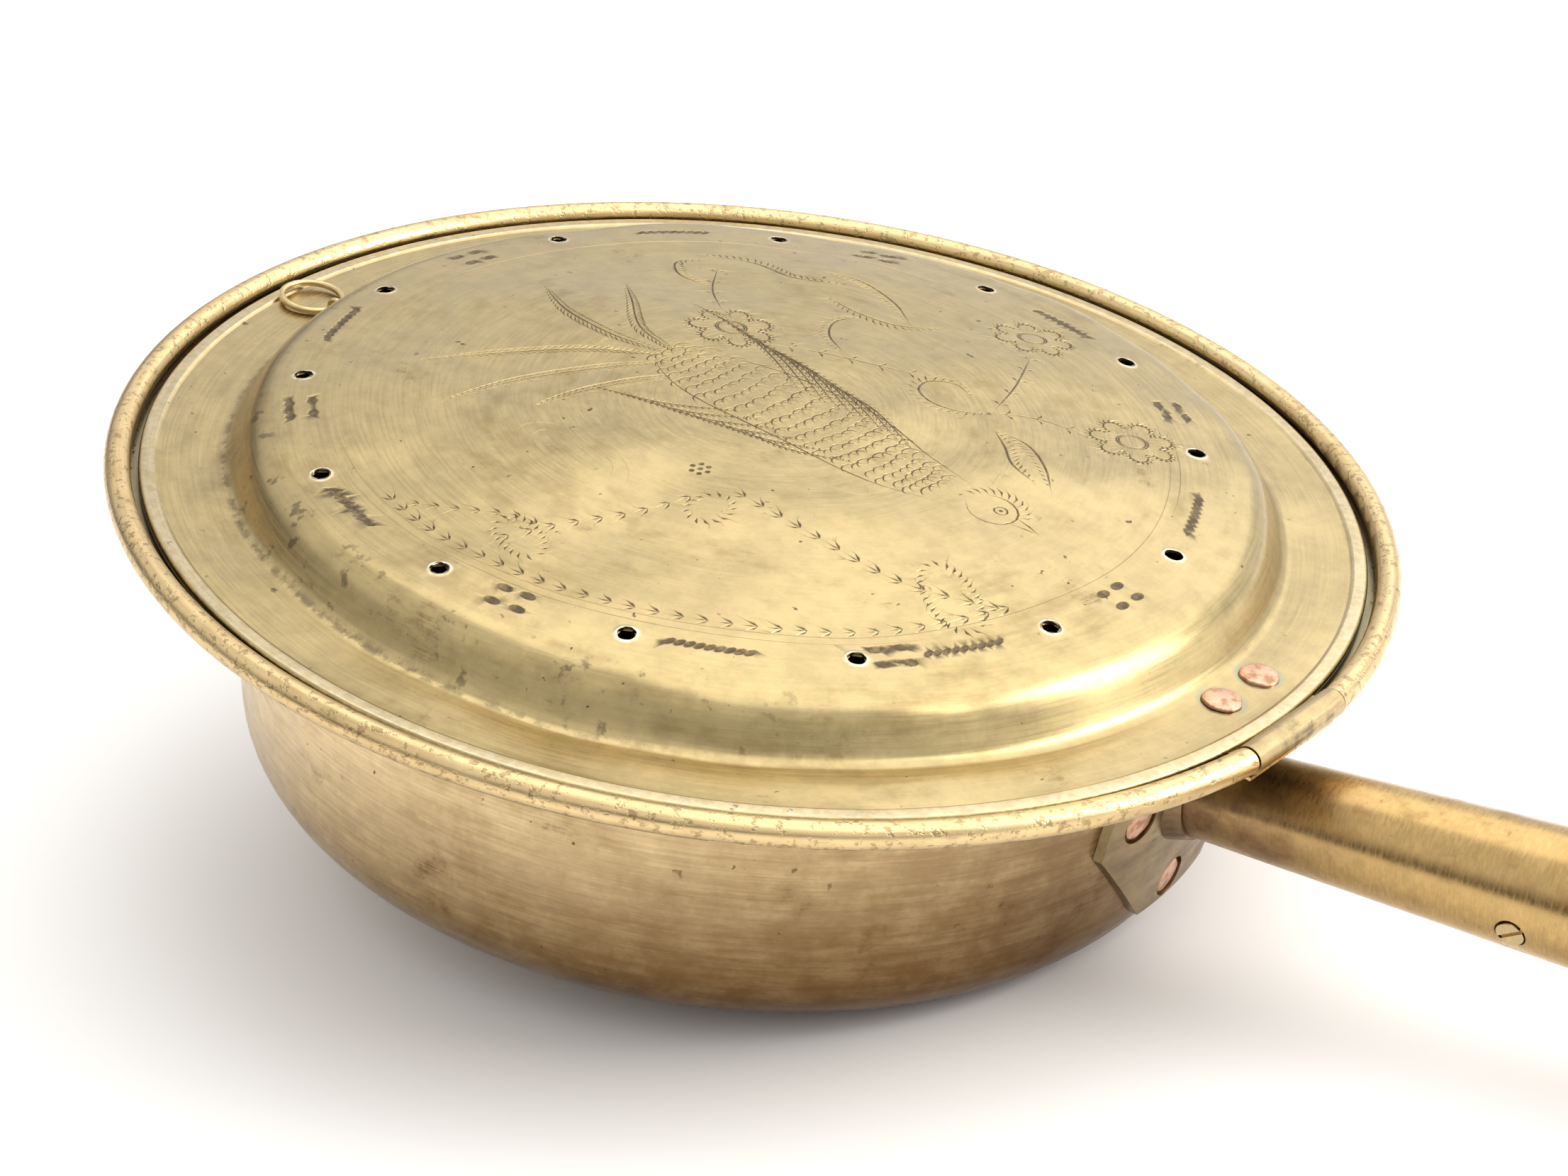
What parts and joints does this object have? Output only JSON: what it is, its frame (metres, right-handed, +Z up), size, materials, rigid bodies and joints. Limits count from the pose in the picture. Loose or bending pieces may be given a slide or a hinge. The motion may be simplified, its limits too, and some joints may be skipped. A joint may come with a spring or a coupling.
{
  "type": "bed warming pan",
  "caption": "Round brass bed warming pan with a hinged, pierced and engraved lid, a lift ring, a riveted conical socket and a long turned wooden handle.",
  "frame": {"origin": "centre of the bounding box, at the table that the pan stands on", "axes": "+X from the pan along the handle, +Z up from the table; the pan leans towards the handle, on the edge of its base and the pommel"},
  "size_m": [1.0814, 0.3062, 0.1216],
  "materials": {
    "pan_brass": "aged spun brass, tarnished",
    "lid_brass": "aged brass, brushed and engraved",
    "plate_brass": "aged sheet brass",
    "strap_brass": "aged sheet brass",
    "socket_brass": "aged brass, sooty near the pan",
    "collar_bronze": "dark brazed bronze",
    "screw_brass": "worn brass",
    "fitting_brass": "drawn brass wire, worn",
    "copper": "hammered copper",
    "iron_wire": "dark iron wire",
    "handle_wood": "turned, waxed hardwood"
  },
  "bodies": {
    "pan": {"pan_bowl": "pan_brass", "rim_wire": "iron_wire", "handle_plate": "plate_brass", "plate_rivet_left": "copper", "plate_rivet_right": "copper", "plate_rivet_bottom": "copper", "socket_collar": "collar_bronze", "socket_tube": "socket_brass", "socket_mouth_ring": "socket_brass", "socket_screw": "screw_brass", "wooden_handle": "handle_wood", "hanging_eye": "fitting_brass"},
    "lid": {"lid_cover": "lid_brass", "hinge_strap": "strap_brass", "hinge_rivet_left": "copper", "hinge_rivet_right": "copper", "ring_eye": "fitting_brass"},
    "lift_ring": {"lift_ring": "fitting_brass"},
    "hanging_ring": {"hanging_ring": "fitting_brass"}
  },
  "joints": [
    {"name": "lid_hinge", "type": "hinge", "parent": "pan", "child": "lid", "pos_m": [-0.2433, -0.01737, 0.06871], "axis": [0.1153, 0.9932, -0.018], "range_deg": [0, 158]},
    {"name": "lift_ring_swing", "type": "hinge", "parent": "lid", "child": "lift_ring", "pos_m": [-0.51492, 0, 0.11234], "axis": [0, 1, 0], "range_deg": [0, 118]},
    {"name": "hanging_ring_swing", "type": "hinge", "parent": "pan", "child": "hanging_ring", "pos_m": [0.51343, -0.007, 0.01223], "axis": [0, -1, 0], "range_deg": [-60, 100]}
  ]
}
